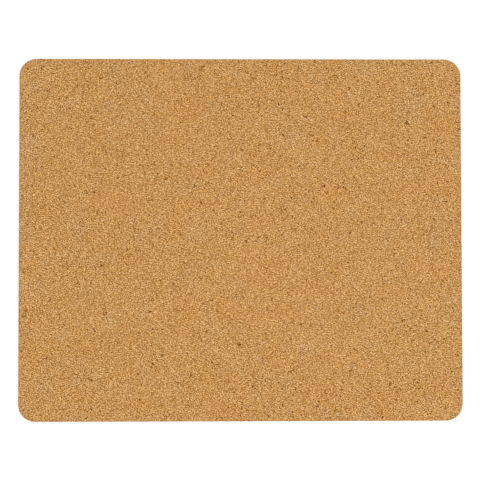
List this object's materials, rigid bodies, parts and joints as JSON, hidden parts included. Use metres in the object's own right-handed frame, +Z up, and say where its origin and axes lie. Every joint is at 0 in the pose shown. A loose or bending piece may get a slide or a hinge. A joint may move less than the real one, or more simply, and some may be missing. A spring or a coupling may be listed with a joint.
{
  "type": "mouse pad",
  "caption": "Flat rectangular mouse pad with rounded corners: a fine-grained cork top for a mouse to slide on, bonded to a thin non-slip rubber base that lies on the desk.",
  "frame": {"origin": "middle of the pad's underside, on the desk", "axes": "+X along the long side to the user's right, +Y along the short side away from the user, +Z up out of the cork face"},
  "size_m": [0.22, 0.18, 0.003],
  "materials": {
    "cork": "matte, sanded, fine-grained agglomerated cork",
    "adhesive": "thin cured contact adhesive, satin, pale amber",
    "rubber": "matte black natural rubber with a fine non-slip tread"
  },
  "bodies": {
    "root": {"rubber_base": "rubber", "adhesive_film": "adhesive", "cork_sheet": "cork"}
  },
  "joints": []
}
